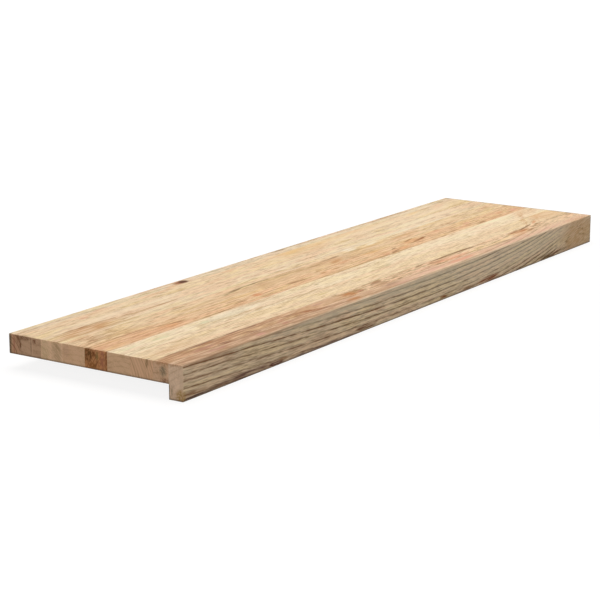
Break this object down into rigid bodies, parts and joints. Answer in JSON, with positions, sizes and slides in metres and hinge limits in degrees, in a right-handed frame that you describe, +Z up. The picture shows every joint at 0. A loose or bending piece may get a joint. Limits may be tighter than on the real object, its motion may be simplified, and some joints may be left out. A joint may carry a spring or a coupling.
{
  "type": "stair tread",
  "caption": "Straight stair tread: a board edge-glued from full-length oak staves, with a deeper nosing strip glued along its front edge.",
  "frame": {"origin": "midway along the length and depth, at the level of the nosing's underside", "axes": "+X along the tread's length, +Y from the nosing to the back edge, +Z up out of the walking surface"},
  "size_m": [0.86, 0.213, 0.035],
  "materials": {
    "pale_oak": "matte",
    "tan_oak": "matte",
    "warm_oak": "matte"
  },
  "bodies": {
    "root": {"nosing_strip": "warm_oak", "front_stave": "tan_oak", "stave_1": "pale_oak", "stave_2": "pale_oak", "stave_3": "warm_oak", "stave_4": "tan_oak", "stave_5": "tan_oak", "stave_6": "pale_oak", "back_stave": "pale_oak"}
  },
  "joints": []
}
